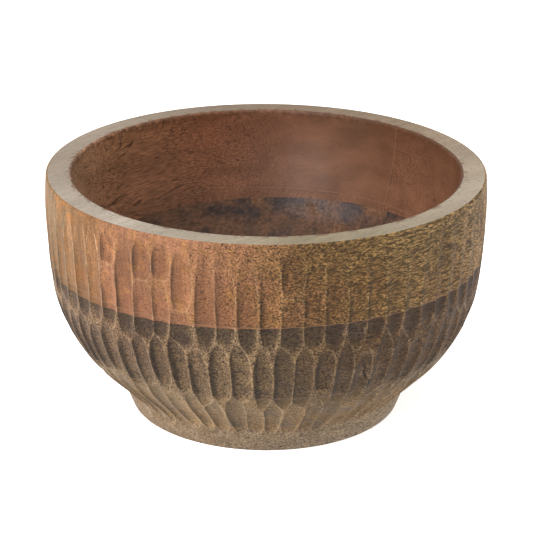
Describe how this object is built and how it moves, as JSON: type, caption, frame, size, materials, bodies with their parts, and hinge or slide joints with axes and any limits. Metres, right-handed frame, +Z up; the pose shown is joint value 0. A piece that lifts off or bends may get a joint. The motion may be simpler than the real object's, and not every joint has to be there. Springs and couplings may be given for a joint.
{
  "type": "carved wooden bowl",
  "caption": "Round wooden bowl on a short foot, glued up from boards in courses, with a smooth hollow and upright gouge flutes carved all over the outside.",
  "frame": {"origin": "centre of the foot's underside, at the height of the surface that the bowl stands on", "axes": "+Z up through the middle of the mouth; the upper boards meet in the plane x = 0, and the wood's grain runs along Y"},
  "size_m": [0.1606, 0.1608, 0.09],
  "materials": {
    "base_wood": "oiled, greyish tan, carved",
    "middle_wood": "oiled, dark grey-brown heartwood, carved",
    "upper_right_wood": "oiled, orange to olive brown with dark pores, carved",
    "upper_left_wood": "oiled, yellow-orange, carved",
    "glue": "hardened wood glue"
  },
  "bodies": {
    "root": {"base_course": "base_wood", "middle_course": "middle_wood", "upper_board_right": "upper_right_wood", "upper_board_left": "upper_left_wood", "course_glue_lower": "glue", "course_glue_upper": "glue", "edge_glue_front": "glue", "edge_glue_back": "glue"}
  },
  "joints": []
}
